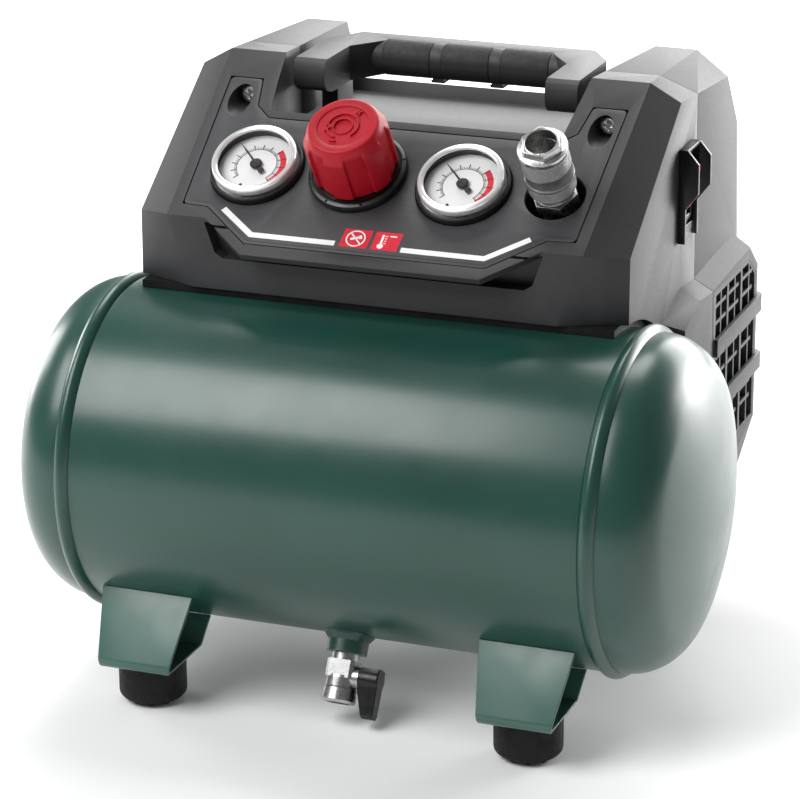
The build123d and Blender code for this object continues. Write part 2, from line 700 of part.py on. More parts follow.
knob_foot = 4.7
knob_top = 34.5
with BuildPart() as regulator_knob:
    add(
        turned(
            face,
            [(9.4, knob_foot), (19.9, knob_foot), (20.3, 26.5),
             (20.1, 30.5), (16.6, 33.9), (15.4, knob_top),
             (12.3, knob_top), (12.3, knob_top - 0.8),
             (11.3, knob_top - 0.8), (11.3, knob_top), (0, knob_top),
             (0, 24.0), (9.4, 24.0)],
            knob_place,
        )
    )
    for step in range(8):
        angle = math.radians(45 * step + 12)
        spot = (knob_place[0] + 23.4 * math.cos(angle), knob_place[1] + 23.4 * math.sin(angle))
        extrude(disc(face.offset(knob_foot + 3), 4.6, spot), amount=knob_top, mode=Mode.SUBTRACT)
save(regulator_knob, "regulator_knob")

# ---------------------------------------------------------------- quick coupler
with BuildPart() as coupler_base:
    with BuildSketch(face.offset(-2.0)):
        with Locations(coupler_place):
            RegularPolygon(11.5, 6)
    extrude(amount=5.0)
    extrude(disc(face.offset(-30), 7.5, coupler_place), amount=30)
    extrude(disc(face.offset(0), 9.0, coupler_place), amount=31.4)
    extrude(disc(face.offset(3.5), 6.9, coupler_place), amount=20, mode=Mode.SUBTRACT)
    extrude(disc(face.offset(19.5), 7.3, coupler_place), amount=20, mode=Mode.SUBTRACT)
    extrude(disc(face.offset(-40), 4.0, coupler_place), amount=60, mode=Mode.SUBTRACT)
save(coupler_base, "coupler_base")

with BuildPart() as coupler_nose:
    extrude(disc(face.offset(31.5), 11.7, coupler_place), amount=2.5)
    with BuildSketch(face.offset(34.0)):
        with Locations(coupler_place):
            RegularPolygon(9.85, 6, rotation=-10)
    extrude(amount=3.5)
    extrude(disc(face.offset(30), 7.3, coupler_place), amount=20, mode=Mode.SUBTRACT)
save(coupler_nose, "coupler_nose")

sleeve_rings = [(9.3, 7.6), (11.2, 7.6), (11.5, 8.2), (11.5, 14.0), (11.8, 14.3), (11.8, 15.7), (11.3, 16.0)]
with BuildPart() as coupler_sleeve:
    add(turned(face, sleeve_rings + [(11.3, 30.4), (10.8, 31.0), (9.3, 31.0)], coupler_place))
save(coupler_sleeve, "coupler_sleeve")

with BuildPart() as coupler_poppet:
    poppet_profile = [(0, 8.0), (3.4, 8.0), (3.4, 12.5), (6.5, 12.5), (6.5, 15.5), (3.0, 19.0), (0, 19.0)]
    add(turned(face, poppet_profile, coupler_place))
save(coupler_poppet, "coupler_poppet")

# ---------------------------------------------------------------- motor and pump
motor = Plane(origin=base + Vector(0, motor_y, motor_z), x_dir=(0, 1, 0), z_dir=(1, 0, 0))
with BuildPart() as motor_stator:
    extrude(disc(motor.offset(-4), 37.0, hole=24.2), amount=63)
    for step in range(4):
        angle = math.radians(90 * step + 45)
        spot = (30.0 * math.cos(angle), 30.0 * math.sin(angle))
        extrude(disc(motor.offset(-5), 2.2, spot), amount=70, mode=Mode.SUBTRACT)
save(motor_stator, "motor_stator")

with BuildPart() as motor_end_plates:
    for x in (-12.0, 60.0):
        extrude(disc(motor.offset(x), 37.0), amount=6)
        extrude(rectangle(motor.offset(x), (-30, -58.9), (14, 0)), amount=6)
        extrude(disc(motor.offset(x - 5), 4.06), amount=20, mode=Mode.SUBTRACT)
    for place in pump_bolts:
        extrude(disc(top.offset(-50), 2.03, place), amount=14, mode=Mode.SUBTRACT)
save(motor_end_plates, "motor_end_plates")

crank_throw = 9.0
with BuildPart() as motor_rotor:
    extrude(disc(motor.offset(1), 23.5), amount=53)
    extrude(disc(motor.offset(-46), 4.0), amount=138)
    extrude(disc(motor.offset(-50), 16.0), amount=5)
    extrude(disc(motor.offset(-60), 4.0, (0, -crank_throw)), amount=11)
save(motor_rotor, "motor_rotor")

with BuildPart() as cooling_fan:
    extrude(disc(motor.offset(76), 9.0, hole=4.02), amount=12)
    extrude(disc(motor.offset(76), 44.0, hole=8.0), amount=1.6)
    for step in range(12):
        angle = math.radians(30 * step)
        with BuildSketch(motor.offset(76)):
            with Locations(Location((26.0 * math.cos(angle), 26.0 * math.sin(angle)), 30 * step)):
                Rectangle(35.5, 1.4)
        extrude(amount=11)
save(cooling_fan, "cooling_fan")

with BuildPart() as crankcase:
    add(box((-70, 108, -18), (-36, 162, 43.9)))
    extrude(disc(motor.offset(-65), 21.0), amount=25, mode=Mode.SUBTRACT)
    extrude(disc(motor.offset(-45), 4.4), amount=20, mode=Mode.SUBTRACT)
    extrude(disc(top.offset(20), 16.2, (-53, motor_y)), amount=40, mode=Mode.SUBTRACT)
    add(box((-70, 112, -46.9), (-36, 118, -18)))
    add(box((-70, 140, -46.9), (-36, 146, -18)))
save(crankcase, "crankcase")

with BuildPart() as cylinder:
    extrude(disc(top.offset(44), 20.5, (-53, motor_y)), amount=36)
    for step in range(5):
        extrude(disc(top.offset(47 + 7 * step), 26.5, (-53, motor_y)), amount=2)
    extrude(disc(top.offset(40), 16.2, (-53, motor_y)), amount=60, mode=Mode.SUBTRACT)
save(cylinder, "cylinder")

with BuildPart() as cylinder_head:
    add(box((-80, 108, 80.2), (-26, 162, 97)))
    for step in range(6):
        x = -76 + 9 * step
        add(box((x, 110, 96.5), (x + 2.4, 160, 104)))
    extrude(disc(side.offset(-40), 2.2, (motor_y, 88)), amount=20, mode=Mode.SUBTRACT)
save(cylinder_head, "cylinder_head")

with BuildPart() as piston:
    extrude(disc(top.offset(58), 16.0, (-53, motor_y)), amount=13)
    add(box((-57, 130, 30), (-49, 140, 59)))
save(piston, "piston")

# Delivery pipe: from the cylinder head to the check valve on the tank.
with BuildPart() as check_valve:
    extrude(disc(top.offset(55), 9.0, (5, 52)), amount=38)
    extrude(disc(front.offset(-65.0), 5.0, (5, 88)), amount=13)
    add(tank_clear, mode=Mode.SUBTRACT)
save(check_valve, "check_valve")

with BuildPart() as delivery_pipe:
    with BuildLine() as route:
        FilletPolyline(
            base + Vector(-25.9, motor_y, 88),
            base + Vector(5, motor_y, 88),
            base + Vector(5, 65.1, 88),
            radius=14,
        )
    with BuildSketch(Plane(origin=route.line @ 0, z_dir=route.line % 0)):
        Circle(3.2)
        Circle(2.2, mode=Mode.SUBTRACT)
    sweep()
save(delivery_pipe, "delivery_pipe")

with BuildPart() as air_manifold:
    extrude(rectangle(face.offset(-43), (-76, 27), (90, 40)), amount=11.9)
save(air_manifold, "air_manifold")

with BuildPart() as safety_valve:
    extrude(disc(top.offset(55), 7.0, (45, 45)), amount=26)
    extrude(disc(top.offset(80), 4.5, (45, 45)), amount=10)
    add(tank_clear, mode=Mode.SUBTRACT)
save(safety_valve, "safety_valve")

with BuildPart() as cable_gland:
    extrude(disc(top.offset(-52.6), 8.5, gland_place, hole=3.6), amount=2.5)
    extrude(disc(top.offset(-60), 6.9, gland_place, hole=3.6), amount=8)
    extrude(disc(top.offset(-52.6), 6.1, gland_place, hole=3.6), amount=9)
save(cable_gland, "cable_gland")
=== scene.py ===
import json
import math

import bmesh
import bpy
from mathutils import Matrix, Vector


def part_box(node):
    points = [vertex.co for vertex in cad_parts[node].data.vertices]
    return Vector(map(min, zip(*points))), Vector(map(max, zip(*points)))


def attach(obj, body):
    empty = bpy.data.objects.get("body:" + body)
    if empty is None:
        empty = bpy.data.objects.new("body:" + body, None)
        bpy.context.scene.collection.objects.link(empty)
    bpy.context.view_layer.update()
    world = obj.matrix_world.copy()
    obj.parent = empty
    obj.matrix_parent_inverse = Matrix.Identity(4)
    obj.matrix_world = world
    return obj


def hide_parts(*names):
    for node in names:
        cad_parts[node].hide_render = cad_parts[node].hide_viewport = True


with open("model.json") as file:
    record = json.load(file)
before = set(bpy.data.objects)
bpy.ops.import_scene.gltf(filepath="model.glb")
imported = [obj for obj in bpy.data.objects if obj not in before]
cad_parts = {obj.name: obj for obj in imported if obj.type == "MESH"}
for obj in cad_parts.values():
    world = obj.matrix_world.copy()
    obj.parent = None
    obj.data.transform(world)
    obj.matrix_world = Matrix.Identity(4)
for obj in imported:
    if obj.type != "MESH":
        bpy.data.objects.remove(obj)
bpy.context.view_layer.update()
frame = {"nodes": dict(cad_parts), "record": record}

MM = 0.001
JOINTS = {joint["name"]: joint for joint in frame["record"]["behaviour"]["joints"]}
MOUNTS = {mount["name"]: mount for mount in frame["record"]["mounts"]}
FACE_NORMAL = Vector(JOINTS["knob_turn"]["axis"])
ACROSS = Vector((1, 0, 0))
TANK_LOW, TANK_HIGH = (Vector(corner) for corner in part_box("tank_shell"))
TANK_AXIS = (TANK_LOW + TANK_HIGH) / 2
TANK_RADIUS = (TANK_HIGH.z - TANK_LOW.z) / 2
FOOT_NODES = ("front_foot_left", "front_foot_right", "rear_foot_left", "rear_foot_right")


# ------------------------------------------------------------------ frames
def frame_at(origin, up, across=ACROSS):
    """Matrix whose local Z is up and whose local X is as near as possible to across."""
    z_axis = Vector(up).normalized()
    x_axis = (Vector(across) - z_axis * Vector(across).dot(z_axis)).normalized()
    y_axis = z_axis.cross(x_axis)
    matrix = Matrix((x_axis, y_axis, z_axis)).transposed().to_4x4()
    matrix.translation = Vector(origin)
    return matrix


KNOB_CENTRE = Vector(JOINTS["knob_turn"]["pos_m"])
FACE = frame_at(KNOB_CENTRE, FACE_NORMAL)


def face_place(point):
    """Matrix on the sloping face under a point that stands above it."""
    local = FACE.inverted() @ Vector(point)
    return FACE @ Matrix.Translation((local.x, local.y, 0))


GAUGES = {name: face_place(JOINTS[f"{name}_needle_turn"]["pos_m"]) for name in ("tank", "outlet")}
COUPLER = face_place(MOUNTS["coupler_socket"]["pos_m"])
KNOB_ACROSS = -17 * MM
KNOB_UP = 35 * MM
PANEL = FACE @ Matrix.Translation((-KNOB_ACROSS, -KNOB_UP, 0))


# ------------------------------------------------------------------ materials
def node(tree, kind, **values):
    made = tree.nodes.new(kind)
    for key, value in values.items():
        setattr(made, key, value)
    return made


def noise(tree, coords, scale, detail=3.0, rough=0.55):
    made = node(tree, "ShaderNodeTexNoise")
    made.inputs["Scale"].default_value = scale
    made.inputs["Detail"].default_value = detail
    made.inputs["Roughness"].default_value = rough
    tree.links.new(coords.outputs["Object"], made.inputs["Vector"])
    return made.outputs["Fac"]


def spread(tree, value, low, high, start=0.35, end=0.65):
    """Map a noise value to a range."""
    made = node(tree, "ShaderNodeMapRange")
    made.inputs["From Min"].default_value = start
    made.inputs["From Max"].default_value = end
    made.inputs["To Min"].default_value = low
    made.inputs["To Max"].default_value = high
    tree.links.new(value, made.inputs["Value"])
    return made.outputs["Result"]


TINT_START = 0.36
TINT_END = 0.64
ROUGH_PATCH_RATIO = 3.1


def surface(name, dark, light, rough, patch=30.0, metallic=0.0, coat=0.0, grain=None, specular=0.5,
            coat_rough=0.1, transmission=0.0, speckle=None):
    """Procedural finish: two close tints in patches, roughness in finer patches, and grain as bump.

    rough is the roughness range, patch the noise scale of the tints, grain is (scale, height in m,
    strength) and speckle is (scale, share) of fine light and dark grains among the patches.
    """
    made = bpy.data.materials.new(name)
    made.use_nodes = True
    tree = made.node_tree
    shader = tree.nodes["Principled BSDF"]
    coords = node(tree, "ShaderNodeTexCoord")
    patches = noise(tree, coords, patch)
    factor = patches
    if speckle:
        fine = noise(tree, coords, speckle[0], 2.0, 0.7)
        blend = node(tree, "ShaderNodeMix")
        blend.data_type = "FLOAT"
        blend.inputs["Factor"].default_value = speckle[1]
        tree.links.new(patches, blend.inputs[2])
        tree.links.new(fine, blend.inputs[3])
        factor = blend.outputs[0]
    ramp = node(tree, "ShaderNodeValToRGB")
    ramp.color_ramp.elements[0].position = TINT_START
    ramp.color_ramp.elements[0].color = (*dark, 1)
    ramp.color_ramp.elements[1].position = TINT_END
    ramp.color_ramp.elements[1].color = (*light, 1)
    tree.links.new(factor, ramp.inputs["Fac"])
    tree.links.new(ramp.outputs["Color"], shader.inputs["Base Color"])
    finer = noise(tree, coords, patch * ROUGH_PATCH_RATIO)
    tree.links.new(spread(tree, finer, *rough), shader.inputs["Roughness"])
    shader.inputs["Metallic"].default_value = metallic
    shader.inputs["Coat Weight"].default_value = coat
    shader.inputs["Coat Roughness"].default_value = coat_rough
    shader.inputs["Specular IOR Level"].default_value = specular
    shader.inputs["Transmission Weight"].default_value = transmission
    if grain:
        bump = node(tree, "ShaderNodeBump")
        bump.inputs["Distance"].default_value = grain[1]
        bump.inputs["Strength"].default_value = grain[2]
        tree.links.new(noise(tree, coords, grain[0], 2.0, 0.6), bump.inputs["Height"])
        tree.links.new(bump.outputs["Normal"], shader.inputs["Normal"])
    return made


GLASS_GLOSS = 0.025


def clear_glass(name):
    """Thin gauge window: clear, with a faint sharp reflection."""
    made = bpy.data.materials.new(name)
    made.use_nodes = True
    tree = made.node_tree
    tree.nodes.remove(tree.nodes["Principled BSDF"])
    output = tree.nodes["Material Output"]
    coords = node(tree, "ShaderNodeTexCoord")
    clear = node(tree, "ShaderNodeBsdfTransparent")
    gloss = node(tree, "ShaderNodeBsdfGlossy")
    tree.links.new(spread(tree, noise(tree, coords, 60), 0.02, 0.05), gloss.inputs["Roughness"])
    mix = node(tree, "ShaderNodeMixShader")
    mix.inputs["Fac"].default_value = GLASS_GLOSS
    tree.links.new(clear.outputs["BSDF"], mix.inputs[1])
    tree.links.new(gloss.outputs["BSDF"], mix.inputs[2])
    tree.links.new(mix.outputs["Shader"], output.inputs["Surface"])
    return made


MATERIALS = {
    "tank": surface(
        "tank_green_paint", (0.010, 0.056, 0.042), (0.013, 0.066, 0.050), (0.30, 0.36), patch=14,
        coat=0.35, coat_rough=0.22, grain=(900, 0.00003, 0.25)),
    "bracket": surface(
        "bracket_green_paint", (0.040, 0.110, 0.088), (0.048, 0.128, 0.104), (0.32, 0.42), patch=24,
        coat=0.3, coat_rough=0.25, grain=(1100, 0.00003, 0.3)),
    "cover": surface(
        "anthracite_texture", (0.023, 0.023, 0.025), (0.033, 0.033, 0.036), (0.50, 0.54), patch=160,
        grain=(2600, 0.00012, 0.6), speckle=(2400, 0.8)),
    "panel": surface(
        "panel_texture", (0.031, 0.031, 0.034), (0.045, 0.045, 0.049), (0.46, 0.50), patch=160,
        grain=(2600, 0.0001, 0.45), speckle=(2400, 0.7)),
    "dark": surface(
        "black_plastic", (0.004, 0.004, 0.005), (0.008, 0.008, 0.009), (0.28, 0.40), patch=90,
        grain=(1800, 0.00004, 0.3)),
    "grip": surface(
        "soft_grip", (0.018, 0.018, 0.019), (0.027, 0.027, 0.028), (0.62, 0.72), patch=120,
        grain=(2200, 0.00008, 0.5), speckle=(2600, 0.5)),
    "rubber": surface(
        "foot_rubber", (0.005, 0.005, 0.005), (0.010, 0.010, 0.010), (0.55, 0.70), patch=90,
        grain=(900, 0.00015, 0.5), specular=0.25),
    "knob": surface(
        "knob_red", (0.37, 0.003, 0.012), (0.43, 0.005, 0.016), (0.40, 0.46), patch=120,
        grain=(2400, 0.00005, 0.35), specular=0.28),
    "rocker": surface(
        "rocker_red", (0.62, 0.05, 0.035), (0.72, 0.08, 0.05), (0.18, 0.26), patch=90,
        grain=(600, 0.00002, 0.2), transmission=0.25),
    "bezel": surface(
        "bezel_silver", (0.86, 0.86, 0.86), (0.92, 0.92, 0.92), (0.16, 0.24), patch=90, metallic=0.55,
        grain=(500, 0.00001, 0.2)),
    "dial": surface(
        "dial_white", (0.80, 0.80, 0.80), (0.84, 0.84, 0.84), (0.50, 0.60), patch=60,
        grain=(1500, 0.00001, 0.2)),
    "print_black": surface(
        "print_black", (0.012, 0.012, 0.013), (0.02, 0.02, 0.021), (0.45, 0.55), patch=200,
        grain=(2500, 0.00001, 0.2)),
    "print_grey": surface(
        "print_grey", (0.02, 0.02, 0.021), (0.028, 0.028, 0.029), (0.45, 0.55), patch=200,
        grain=(2500, 0.00001, 0.2)),
    "print_white": surface(
        "print_white", (0.84, 0.84, 0.84), (0.90, 0.90, 0.90), (0.40, 0.50), patch=150,
        grain=(2500, 0.00001, 0.2)),
    "print_red": surface(
        "print_red", (0.62, 0.010, 0.030), (0.70, 0.016, 0.040), (0.38, 0.46), patch=150,
        grain=(2500, 0.00001, 0.2)),
    "needle": surface(
        "needle_black", (0.014, 0.014, 0.015), (0.022, 0.022, 0.023), (0.30, 0.40), patch=200,
        grain=(2000, 0.00001, 0.2)),
    "nickel": surface(
        "nickel_plate", (0.46, 0.46, 0.46), (0.54, 0.54, 0.54), (0.26, 0.34), patch=260, metallic=1.0,
        grain=(1300, 0.00001, 0.1)),
    "knurl": surface(
        "nickel_knurl", (0.20, 0.20, 0.20), (0.36, 0.36, 0.355), (0.34, 0.48), patch=160, metallic=0.9,
        grain=(1500, 0.00008, 0.6), speckle=(1800, 0.6)),
    "zinc": surface(
        "zinc_plate", (0.66, 0.66, 0.67), (0.76, 0.76, 0.76), (0.26, 0.40), patch=200, metallic=1.0,
        grain=(1500, 0.00003, 0.35)),
    "steel": surface(
        "black_powder_coat", (0.020, 0.020, 0.021), (0.028, 0.028, 0.030), (0.45, 0.55), patch=50,
        grain=(1500, 0.0001, 0.5)),
    "lamination": surface(
        "motor_steel", (0.22, 0.22, 0.23), (0.34, 0.34, 0.35), (0.35, 0.5), patch=80, metallic=0.9,
        grain=(1500, 0.0001, 0.5)),
    "copper": surface(
        "copper_winding", (0.55, 0.22, 0.10), (0.68, 0.30, 0.15), (0.3, 0.4), patch=200, metallic=1.0,
        grain=(1200, 0.0002, 0.6)),
    "alloy": surface(
        "cast_alloy", (0.42, 0.42, 0.43), (0.55, 0.55, 0.56), (0.42, 0.6), patch=60, metallic=0.95,
        grain=(900, 0.0002, 0.5)),
    "brass": surface(
        "turned_brass", (0.34, 0.31, 0.26), (0.42, 0.39, 0.33), (0.22, 0.36), patch=80, metallic=1.0,
        grain=(1000, 0.00003, 0.3)),
    "glass": clear_glass("gauge_glass"),
}
SLOT_MATERIAL = {
    "tank_paint": "tank", "bracket_paint": "bracket", "cover_plastic": "cover", "panel_plastic": "panel",
    "dark_plastic": "dark", "grip_rubber": "grip", "foot_rubber": "rubber", "knob_red": "knob",
    "rocker_red": "rocker", "bezel_chrome": "bezel", "dial_white": "dial", "needle_black": "needle",
    "lens_clear": "glass", "nickel": "nickel", "steel_plate": "steel", "zinc_screw": "zinc",
    "motor_steel": "lamination", "copper": "copper", "cast_alloy": "alloy", "brass": "brass",
}
NODE_SLOT = {part["node"]: part["material_slot"] for part in frame["record"]["subparts"]}
NODE_BODY = {name: body for body, names in frame["record"]["behaviour"]["bodies"].items() for name in names}
for node_name, cad_object in frame["nodes"].items():
    cad_object.data.materials.clear()
    cad_object.data.materials.append(MATERIALS[SLOT_MATERIAL[NODE_SLOT[node_name]]])


# ------------------------------------------------------------------ mesh helpers
def piece(name, bm, matrix, body, slot, material=None, replaces=(), smooth_angle=30.0):
    """Finish a bmesh as a piece that rides on a body."""
    bmesh.ops.recalc_face_normals(bm, faces=bm.faces)
    bm.transform(matrix)
    mesh = bpy.data.meshes.new(name)
    for face in bm.faces:
        face.smooth = True
    for edge in bm.edges:
        edge.smooth = edge.calc_face_angle(0.0) < math.radians(smooth_angle)
    bm.to_mesh(mesh)
    bm.free()
    made = bpy.data.objects.new(name, mesh)
    bpy.context.scene.collection.objects.link(made)
    mesh.materials.append(MATERIALS[material or SLOT_MATERIAL[slot]])
    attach(made, body)
    if replaces:
        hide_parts(*replaces)
    return made


def rounded(points, radius, steps=3, closed=True):
    """Round the corners of a 2-D outline with arcs no larger than its sides allow."""
    made = []
    count = len(points)
    for index, point in enumerate(points):
        here = Vector(point)
        if not closed and index in (0, count - 1):
            made.append(here)
            continue
        before = Vector(points[index - 1]) - here
        after = Vector(points[(index + 1) % count]) - here
        turn = math.pi - before.angle(after)
        reach = min(radius * math.tan(turn / 2), before.length * 0.45, after.length * 0.45)
        if turn < 0.05 or reach < 1e-6:
            made.append(here)
            continue
        start = here + before.normalized() * reach
        end = here + after.normalized() * reach
        for step in range(steps + 1):
            t = step / steps
            made.append(start * (1 - t) ** 2 + here * 2 * t * (1 - t) + end * t ** 2)
    return made


def lathe(profile, steps=96, radius_at=None):
    """Closed (radius, height) outline turned about local Z.

    radius_at(angle, radius, height) gives the radius there, for shapes that aren't round.
    """
    bm = bmesh.new()
    rings = []
    for radius, height in profile:
        if radius < 1e-7:
            rings.append([bm.verts.new((0, 0, height))] * steps)
            continue
        ring = []
        for step in range(steps):
            angle = 2 * math.pi * step / steps
            r = radius_at(angle, radius, height) if radius_at else radius
            ring.append(bm.verts.new((r * math.cos(angle), r * math.sin(angle), height)))
        rings.append(ring)
    for index, ring in enumerate(rings):
        following = rings[(index + 1) % len(rings)]
        for step in range(steps):
            corners = [ring[step], ring[(step + 1) % steps], following[(step + 1) % steps], following[step]]
            unique = list(dict.fromkeys(corners))
            if len(unique) > 2:
                bm.faces.new(unique)
    return bm


def prism(points, low, high):
    """Outline extruded between two heights."""
    bm = bmesh.new()
    bottom = [bm.verts.new((p[0], p[1], low)) for p in points]
    upper = [bm.verts.new((p[0], p[1], high)) for p in points]
    bm.faces.new(bottom[::-1])
    bm.faces.new(upper)
    for index in range(len(points)):
        after = (index + 1) % len(points)
        bm.faces.new((bottom[index], bottom[after], upper[after], upper[index]))
    return bm


def in_mm(points):
    """Outline given in millimetres, in metres."""
    return [(first * MM, second * MM) for first, second in points]


def joined(parts):
    """One bmesh from several."""
    whole = bmesh.new()
    for part in parts:
        mesh = bpy.data.meshes.new("join")
        part.to_mesh(mesh)
        part.free()
        whole.from_mesh(mesh)
        bpy.data.meshes.remove(mesh)
    return whole


def moved(bm, x=0.0, y=0.0, z=0.0, turn=0.0):
    """The same bmesh turned about local Z and then shifted."""
    bm.transform(Matrix.Translation((x, y, z)) @ Matrix.Rotation(turn, 4, "Z"))
    return bm


SAME_POINT = 2e-6
FLAT_ANGLE = math.radians(0.8)
EDGE_ANGLE = math.radians(25.0)


def softened(node_name, width, segments=3):
    """Copy of a CAD node with its flat faces made whole and its edges rounded; it stands for the node."""
    bm = bmesh.new()
    bm.from_mesh(frame["nodes"][node_name].data)
    bmesh.ops.remove_doubles(bm, verts=bm.verts, dist=SAME_POINT)
    bmesh.ops.dissolve_limit(bm, angle_limit=FLAT_ANGLE, verts=bm.verts, edges=bm.edges)
    made = piece(f"{node_name}_look", bm, Matrix.Identity(4), NODE_BODY[node_name], NODE_SLOT[node_name],
                 replaces=(node_name,))
    for edge in made.data.edges:
        edge.use_edge_sharp = False
    bevel = made.modifiers.new("edge_rounding", "BEVEL")
    bevel.width = width
    bevel.segments = segments
    bevel.limit_method = "ANGLE"
    bevel.angle_limit = EDGE_ANGLE
    bevel.harden_normals = True
    bevel.use_clamp_overlap = True
    bevel.miter_outer = "MITER_ARC"
    return made


# ------------------------------------------------------------------ camera, floor and light
CAMERA_AZIMUTH = math.radians(21.18)
CAMERA_ELEVATION = math.radians(19.40)
CAMERA_ROLL = math.radians(-0.52)
CAMERA_LENS = 155.97
CAMERA_OFFSET = Vector((0.5669, -1.4348, 0.5780))
WORLD_STRENGTH = 0.16
FLOOR_HALF = 6.0
FLOOR_DROP = 0.5 * MM


def make_camera():
    """Long lens, from the operator's right and a little above."""
    data = bpy.data.cameras.new("camera")
    data.lens = CAMERA_LENS
    data.sensor_width = 36
    camera = bpy.data.objects.new("camera", data)
    bpy.context.scene.collection.objects.link(camera)
    flat = math.cos(CAMERA_ELEVATION)
    back = Vector((math.sin(CAMERA_AZIMUTH) * flat, -math.cos(CAMERA_AZIMUTH) * flat,
                   math.sin(CAMERA_ELEVATION)))
    right = Vector((math.cos(CAMERA_AZIMUTH), math.sin(CAMERA_AZIMUTH), 0))
    up = back.cross(right)
    turned_right = right * math.cos(CAMERA_ROLL) + up * math.sin(CAMERA_ROLL)
    turned_up = up * math.cos(CAMERA_ROLL) - right * math.sin(CAMERA_ROLL)
    matrix = Matrix((turned_right, turned_up, back)).transposed().to_4x4()
    matrix.translation = TANK_AXIS + CAMERA_OFFSET
    camera.matrix_world = matrix
    bpy.context.scene.camera = camera


def area_light(name, place, target, size, power):
    """Soft rectangular light that faces the target."""
    data = bpy.data.lights.new(name, "AREA")
    data.shape = "RECTANGLE"
    data.size = size[0]
    data.size_y = size[1]
    data.energy = power
    light = bpy.data.objects.new(name, data)
    bpy.context.scene.collection.objects.link(light)
    light.matrix_world = frame_at(place, Vector(place) - Vector(target))


def make_stage():
    """Pale floor, a dim even world and large soft lights, the largest of them behind the object."""
    bm = bmesh.new()
    bmesh.ops.create_grid(bm, x_segments=2, y_segments=2, size=FLOOR_HALF)
    mesh = bpy.data.meshes.new("floor")
    bm.to_mesh(mesh)
    bm.free()
    floor = bpy.data.objects.new("floor", mesh)
    floor.location.z = -FLOOR_DROP
    bpy.context.scene.collection.objects.link(floor)
    pale = surface("pale_floor", (0.90, 0.90, 0.90), (0.92, 0.92, 0.92), (0.7, 0.8), patch=2)
    mesh.materials.append(pale)
    world = bpy.data.worlds.new("studio")
    bpy.context.scene.world = world
    world.use_nodes = True
    world.node_tree.nodes["Background"].inputs["Color"].default_value = (1, 1, 1, 1)
    world.node_tree.nodes["Background"].inputs["Strength"].default_value = WORLD_STRENGTH
    centre = (0, 0, 0.12)
    area_light("key_left", (-0.85, -1.05, 1.6), centre, (1.3, 1.3), 36)
    area_light("right_side", (1.1, 1.65, 0.4), centre, (0.6, 0.8), 22)
    area_light("top", (-0.3, 0.9, 1.7), centre, (1.2, 0.8), 18)
    area_light("backdrop", (0.4, 1.75, 0.75), centre, (3.0, 1.1), 60)
    area_light("left_rim", (-1.4, 0.5, 0.4), centre, (0.5, 1.0), 10)
    bpy.context.scene.view_settings.view_transform = "Standard"


make_camera()
make_stage()

# ------------------------------------------------------------------ tank
TANK_TURN = frame_at(TANK_AXIS, (1, 0, 0), (0, 1, 0))
SHELL_HALF = (TANK_HIGH.x - TANK_LOW.x) / 2
HEAD_LOW, HEAD_HIGH = (Vector(corner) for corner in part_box("tank_head_right"))
HEAD_RADIUS = (HEAD_HIGH.z - HEAD_LOW.z) / 2
BEAD_WIDTH = 7.7 * MM
BEAD_RISE = 3.0 * MM
SHEET = 2.0 * MM
KNUCKLE = 27.5 * MM
CROWN = 195.0 * MM


def head_outline(inset, steps=18):
    """Knuckle and crown arcs of a dished head from its rim to its centre, as (radius, height)."""
    rim = SHELL_HALF + BEAD_WIDTH
    meet = math.asin((HEAD_RADIUS - KNUCKLE) / (CROWN - KNUCKLE))
    crown_centre = rim - (CROWN - KNUCKLE) * math.cos(meet)
    made = []
    for step in range(steps + 1):
        angle = math.pi / 2 + (meet - math.pi / 2) * step / steps
        r = KNUCKLE - inset
        made.append((HEAD_RADIUS - KNUCKLE + r * math.sin(angle), rim + r * math.cos(angle)))
    for step in range(1, steps + 1):
        angle = meet * (1 - step / steps)
        r = CROWN - inset
        made.append((r * math.sin(angle), crown_centre + r * math.cos(angle)))
    return made


def make_tank():
    """Rolled shell, two dished heads and the weld bead at each seam."""
    wall = [(TANK_RADIUS, -SHELL_HALF), (TANK_RADIUS, SHELL_HALF), (TANK_RADIUS - SHEET, SHELL_HALF),
            (TANK_RADIUS - SHEET, -SHELL_HALF)]
    piece("tank_shell_look", lathe(rounded(wall, 0.3 * MM), 256), TANK_TURN, "machine", "tank_paint", None,
          ("tank_shell",))
    for name, sign in (("left", -1), ("right", 1)):
        outline = head_outline(0) + head_outline(SHEET)[::-1]
        matrix = frame_at(TANK_AXIS, (sign, 0, 0), (0, 1, 0))
        piece(f"tank_head_{name}_look", lathe(outline, 256), matrix, "machine", "tank_paint", None,
              (f"tank_head_{name}",))
    beads = []
    for sign in (-1, 1):
        bead = []
        steps = 14
        for step in range(steps + 1):
            t = step / steps
            rise = BEAD_RISE * math.sin(math.pi * t) ** 0.8
            bead.append((TANK_RADIUS - 0.25 * MM + rise, sign * (SHELL_HALF + BEAD_WIDTH * t)))
        bead += [(TANK_RADIUS - SHEET, sign * (SHELL_HALF + BEAD_WIDTH)),
                 (TANK_RADIUS - SHEET, sign * SHELL_HALF)]
        beads.append(lathe(bead, 256))
    piece("head_welds_look", joined(beads), TANK_TURN, "machine", "tank_paint", None, ("head_welds",))


make_tank()

# ------------------------------------------------------------------ housing, handle and brackets
def make_housing():
    """Moulded, bent and machined parts whose CAD shape stays, with their edges rounded."""
    for name in ("front_cover", "rear_cover"):
        softened(name, 1.1 * MM)
    softened("handle", 1.6 * MM)
    for name in ("control_panel", "grip_pads"):
        softened(name, 0.5 * MM)
    for name in ("switch_guard", "switch_frame", "cover_screws", "switch_rocker", "coupler_base"):
        softened(name, 0.3 * MM, segments=2)
    for name in ("front_bracket_left", "front_bracket_right", "rear_brackets", "rear_carrier",
                 "drain_lever"):
        softened(name, 0.45 * MM)
    softened("coupler_nose", 0.2 * MM, segments=2)


make_housing()


